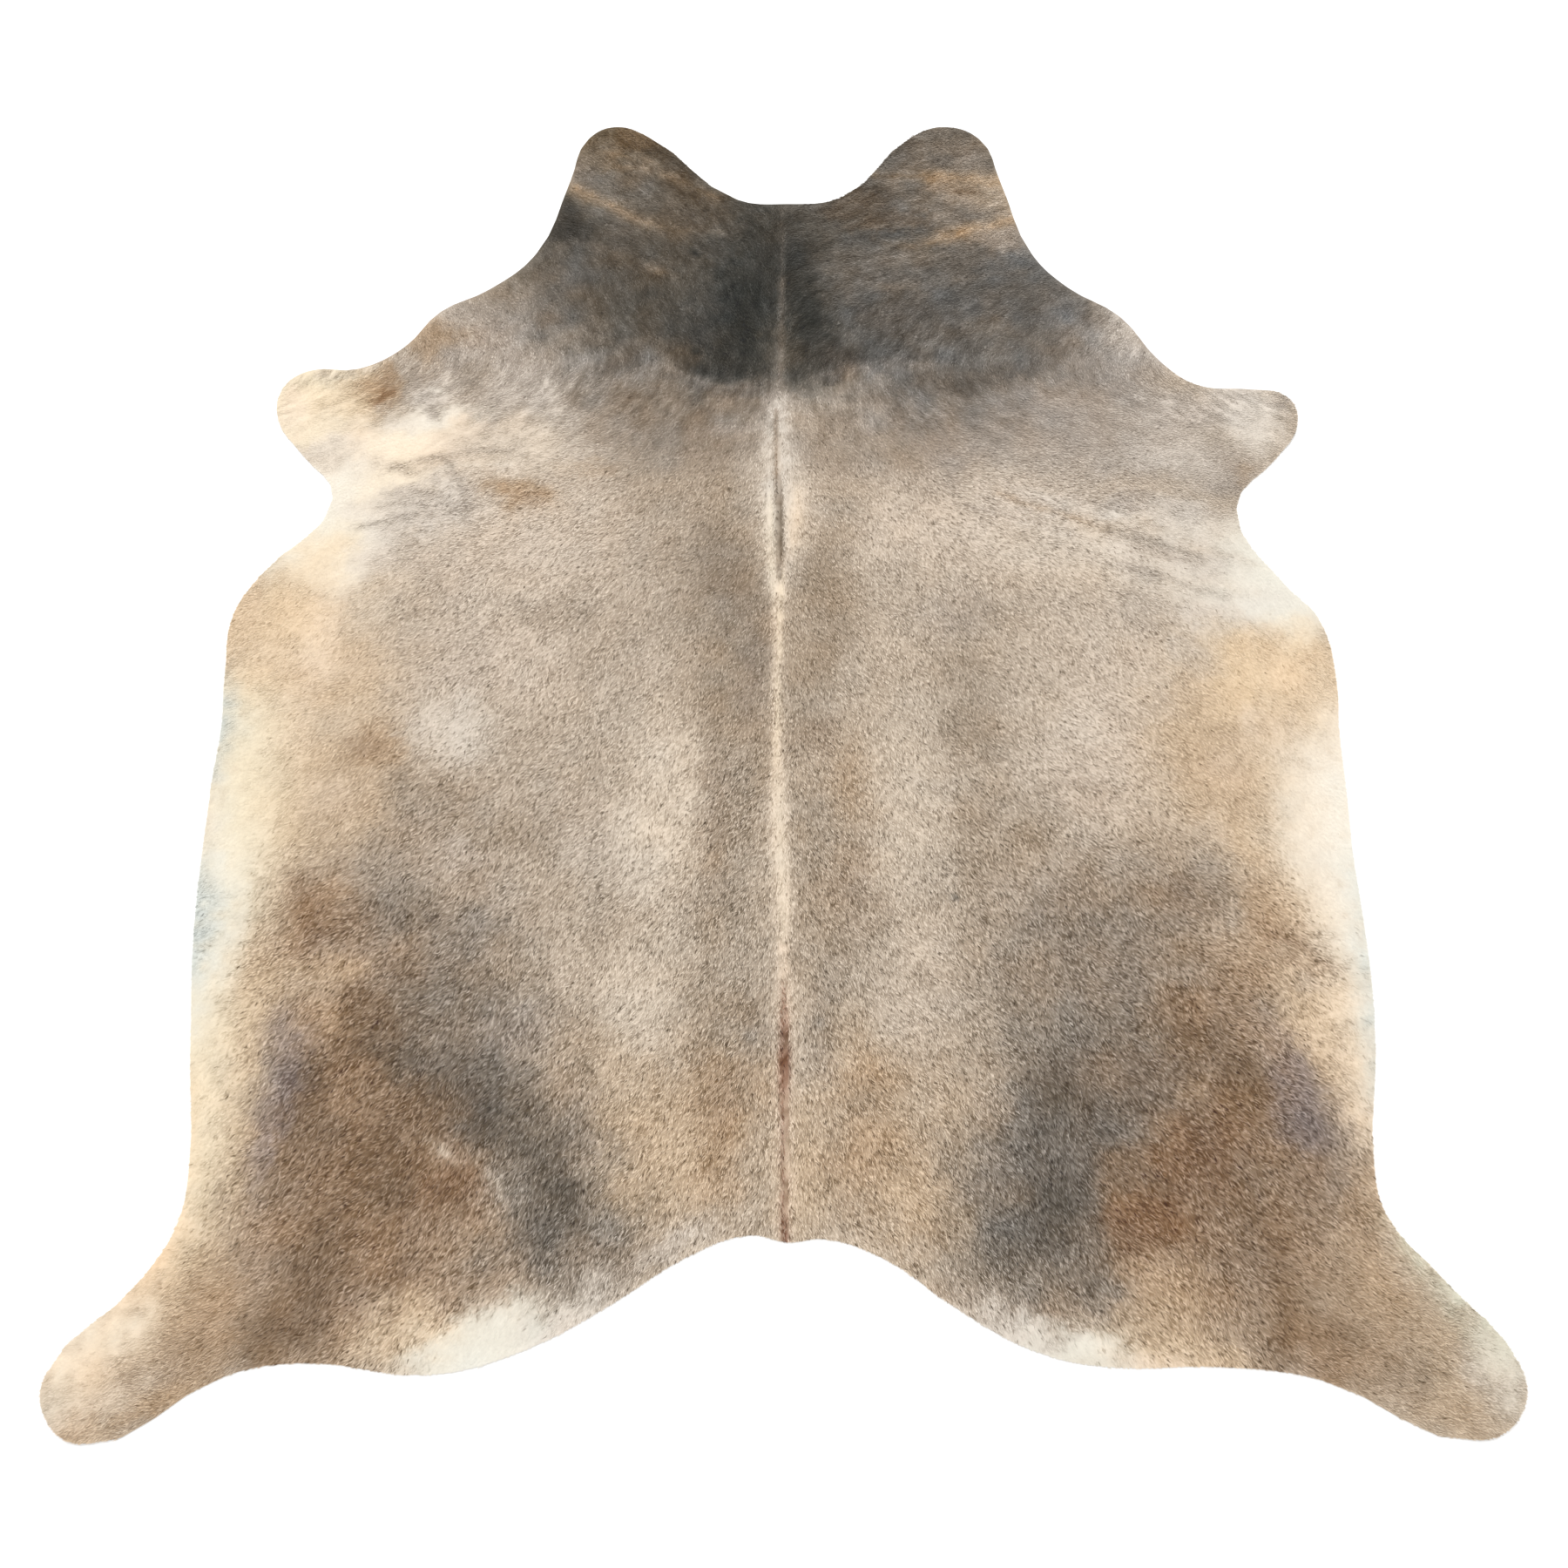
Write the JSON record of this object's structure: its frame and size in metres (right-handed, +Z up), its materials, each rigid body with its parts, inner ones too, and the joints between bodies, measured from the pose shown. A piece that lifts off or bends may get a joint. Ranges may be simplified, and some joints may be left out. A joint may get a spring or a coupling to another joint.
{
  "type": "cowhide rug",
  "caption": "Whole hair-on cowhide trimmed as a flat floor rug, with neck, foreleg and hind leg lobes and a pale spine line.",
  "frame": {"origin": "middle of the rug's box, on the surface it lies on", "axes": "+Y along the spine from the tail to the neck, +X to the right seen from above with the neck away from the viewer, +Z up, coat side up"},
  "size_m": [2.011, 2.3, 0.0187],
  "materials": {
    "coat": "short soft hair coat, satin, taupe with charcoal neck and cream belly edges"
  },
  "bodies": {
    "root": {"hide": "coat"}
  },
  "joints": []
}
